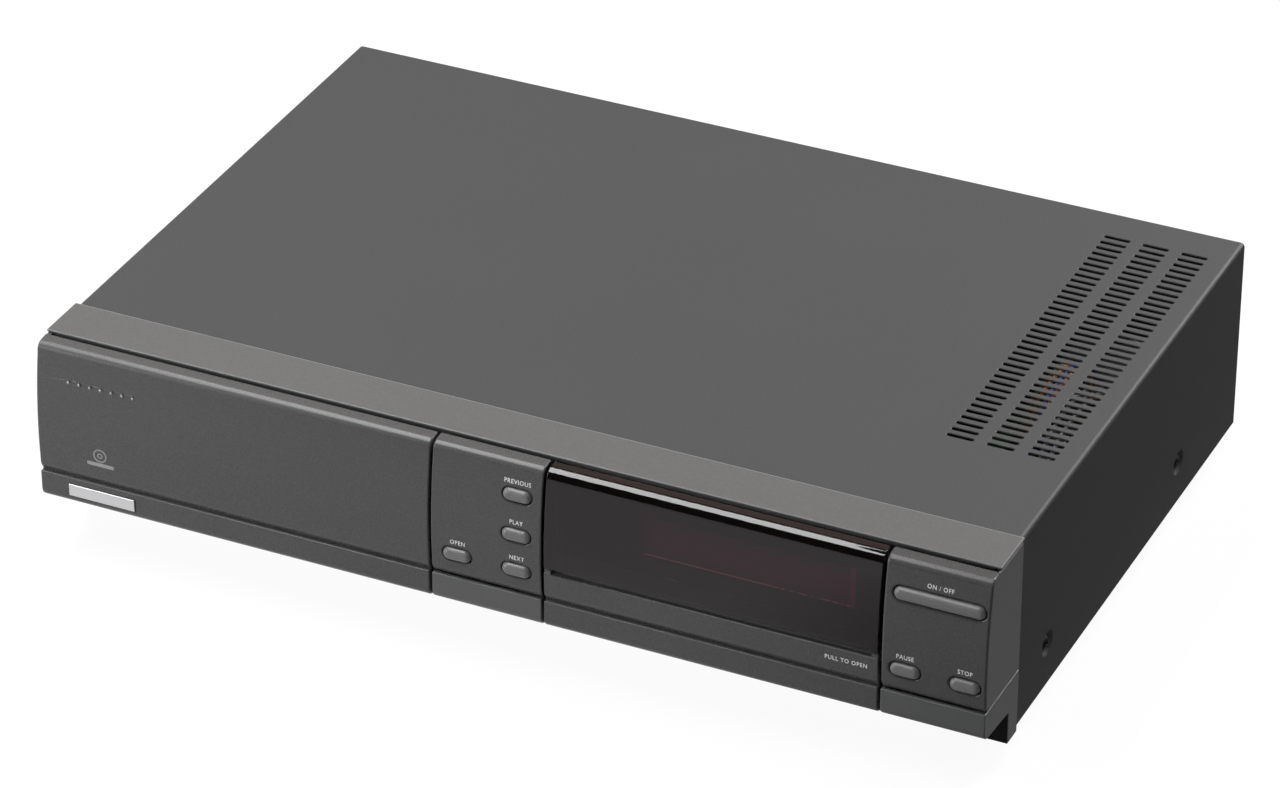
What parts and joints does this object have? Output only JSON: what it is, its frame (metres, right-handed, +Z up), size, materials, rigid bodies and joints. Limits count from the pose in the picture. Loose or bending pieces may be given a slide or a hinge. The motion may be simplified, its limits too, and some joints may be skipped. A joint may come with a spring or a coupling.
{
  "type": "interactive cd player",
  "caption": "Wide dark grey disc player with a motorised drawer, long-hole push buttons, a fold-down flap with a smoked window over the controls, and a vented steel cover.",
  "frame": {"origin": "centre of the overall box at the level of the feet's undersides", "axes": "+X to the right seen from the front, front toward -Y, +Z up"},
  "size_m": [0.42, 0.2952, 0.0992],
  "materials": {
    "cover_paint": "fine-textured satin paint",
    "front_moulding": "fine-textured satin",
    "window_moulding": "smoked, polished",
    "button_moulding": "satin",
    "black_moulding": "matt black",
    "filter_tint": "tinted",
    "tube_glass": "smooth",
    "zinc_steel": "zinc plated",
    "bright_steel": "bright plated",
    "gear_plastic": "natural white",
    "belt_rubber": "matt",
    "foot_rubber": "matt",
    "board_resin": "lacquered",
    "core_iron": "varnished",
    "can_sleeve": "blue sleeve",
    "sink_aluminium": "bare",
    "socket_plating": "plated",
    "lens_glass": "coated"
  },
  "bodies": {
    "chassis": {"top_cover": "cover_paint", "bezel_frame": "front_moulding", "button_panel": "front_moulding", "right_panel": "front_moulding", "recess_panel": "black_moulding", "headphone_socket": "black_moulding", "front_controller_port": "black_moulding", "volume_control": "black_moulding", "key_switches": "black_moulding", "scart_socket": "black_moulding", "rear_din_sockets": "black_moulding", "mains_inlet": "black_moulding", "board_chips": "black_moulding", "loader_frame": "black_moulding", "display_filter": "filter_tint", "display_tube": "tube_glass", "bottom_chassis": "zinc_steel", "rear_panel": "zinc_steel", "clamp_bridge": "zinc_steel", "hinge_pins": "bright_steel", "wheel_posts": "bright_steel", "side_screws": "bright_steel", "rear_screws": "bright_steel", "inner_screws": "bright_steel", "loading_motor": "bright_steel", "drive_belt": "belt_rubber", "feet": "foot_rubber", "front_board": "board_resin", "power_board": "board_resin", "main_board": "board_resin", "transformer": "core_iron", "filter_capacitors": "can_sleeve", "heat_sink": "sink_aluminium", "phono_sockets": "socket_plating"},
    "drawer": {"drawer_front": "front_moulding", "disc_tray": "black_moulding"},
    "drive_gear": {"drive_gear": "gear_plastic"},
    "drive_pulley": {"drive_pulley": "gear_plastic"},
    "motor_pulley": {"motor_pulley": "gear_plastic"},
    "lift_cam": {"lift_cam": "gear_plastic"},
    "deck": {"deck_plate": "zinc_steel", "spindle_motor": "bright_steel", "guide_rods": "bright_steel", "sled_motor": "bright_steel"},
    "turntable": {"turntable": "black_moulding"},
    "sled": {"laser_carriage": "black_moulding", "objective_lens": "lens_glass"},
    "sled_gear": {"sled_gear": "gear_plastic"},
    "clamp_puck": {"clamp_puck": "black_moulding"},
    "flap": {"flap_panel": "front_moulding", "flap_window": "window_moulding"},
    "volume_knob": {"volume_knob": "black_moulding"},
    "previous_button": {"previous_button": "button_moulding"},
    "play_button": {"play_button": "button_moulding"},
    "next_button": {"next_button": "button_moulding"},
    "open_button": {"open_button": "button_moulding"},
    "power_button": {"power_button": "button_moulding"},
    "pause_button": {"pause_button": "button_moulding"},
    "stop_button": {"stop_button": "button_moulding"}
  },
  "joints": [
    {"name": "drawer_slide", "type": "slide", "parent": "chassis", "child": "drawer", "axis": [0, -1, 0], "range_m": [0, 0.14]},
    {"name": "drive_gear_spin", "type": "hinge", "parent": "chassis", "child": "drive_gear", "pos_m": [-0.17715, -0.11577, 0.051], "axis": [0, 0, 1], "continuous": true},
    {"name": "drive_pulley_spin", "type": "hinge", "parent": "chassis", "child": "drive_pulley", "pos_m": [-0.16015, -0.11577, 0.047], "axis": [0, 0, 1], "continuous": true},
    {"name": "motor_pulley_spin", "type": "hinge", "parent": "chassis", "child": "motor_pulley", "pos_m": [-0.12215, -0.11577, 0.045], "axis": [0, 0, 1], "continuous": true},
    {"name": "cam_slide", "type": "slide", "parent": "chassis", "child": "lift_cam", "axis": [1, 0, 0], "range_m": [0, 0.012]},
    {"name": "deck_lift", "type": "slide", "parent": "chassis", "child": "deck", "axis": [0, 0, 1], "range_m": [-0.006, 0]},
    {"name": "turntable_spin", "type": "hinge", "parent": "deck", "child": "turntable", "pos_m": [-0.12, -0.06577, 0.064], "axis": [0, 0, 1], "continuous": true},
    {"name": "sled_slide", "type": "slide", "parent": "deck", "child": "sled", "axis": [0, 1, 0], "range_m": [0, 0.035]},
    {"name": "sled_gear_spin", "type": "hinge", "parent": "deck", "child": "sled_gear", "pos_m": [-0.0906, -0.02677, 0.0495], "axis": [0, 0, 1], "continuous": true},
    {"name": "clamp_puck_spin", "type": "hinge", "parent": "chassis", "child": "clamp_puck", "pos_m": [-0.12, -0.06577, 0.071], "axis": [0, 0, 1], "continuous": true},
    {"name": "flap_swing", "type": "hinge", "parent": "chassis", "child": "flap", "pos_m": [0.0928, -0.13977, 0.0293], "axis": [1, 0, 0], "range_deg": [0, 90]},
    {"name": "volume_turn", "type": "hinge", "parent": "chassis", "child": "volume_knob", "pos_m": [0.066, -0.12677, 0.041], "axis": [0, 1, 0], "range_deg": [-150, 150]},
    {"name": "previous_press", "type": "slide", "parent": "chassis", "child": "previous_button", "axis": [0, 1, 0], "range_m": [0, 0.0012], "stiffness_N_per_m": 400, "springref_m": -0.001},
    {"name": "play_press", "type": "slide", "parent": "chassis", "child": "play_button", "axis": [0, 1, 0], "range_m": [0, 0.0012], "stiffness_N_per_m": 400, "springref_m": -0.001},
    {"name": "next_press", "type": "slide", "parent": "chassis", "child": "next_button", "axis": [0, 1, 0], "range_m": [0, 0.0012], "stiffness_N_per_m": 400, "springref_m": -0.001},
    {"name": "open_press", "type": "slide", "parent": "chassis", "child": "open_button", "axis": [0, 1, 0], "range_m": [0, 0.0012], "stiffness_N_per_m": 400, "springref_m": -0.001},
    {"name": "power_press", "type": "slide", "parent": "chassis", "child": "power_button", "axis": [0, 1, 0], "range_m": [0, 0.0012], "stiffness_N_per_m": 400, "springref_m": -0.001},
    {"name": "pause_press", "type": "slide", "parent": "chassis", "child": "pause_button", "axis": [0, 1, 0], "range_m": [0, 0.0012], "stiffness_N_per_m": 400, "springref_m": -0.001},
    {"name": "stop_press", "type": "slide", "parent": "chassis", "child": "stop_button", "axis": [0, 1, 0], "range_m": [0, 0.0012], "stiffness_N_per_m": 400, "springref_m": -0.001}
  ],
  "couplings": [
    {"joint": "drive_gear_spin", "follows": "drawer_slide", "rad_per_m": 114.29},
    {"joint": "drive_pulley_spin", "follows": "drawer_slide", "rad_per_m": -274.29},
    {"joint": "motor_pulley_spin", "follows": "drawer_slide", "rad_per_m": -822.86},
    {"joint": "deck_lift", "follows": "cam_slide", "ratio": -0.5},
    {"joint": "sled_gear_spin", "follows": "sled_slide", "rad_per_m": -156.25}
  ]
}
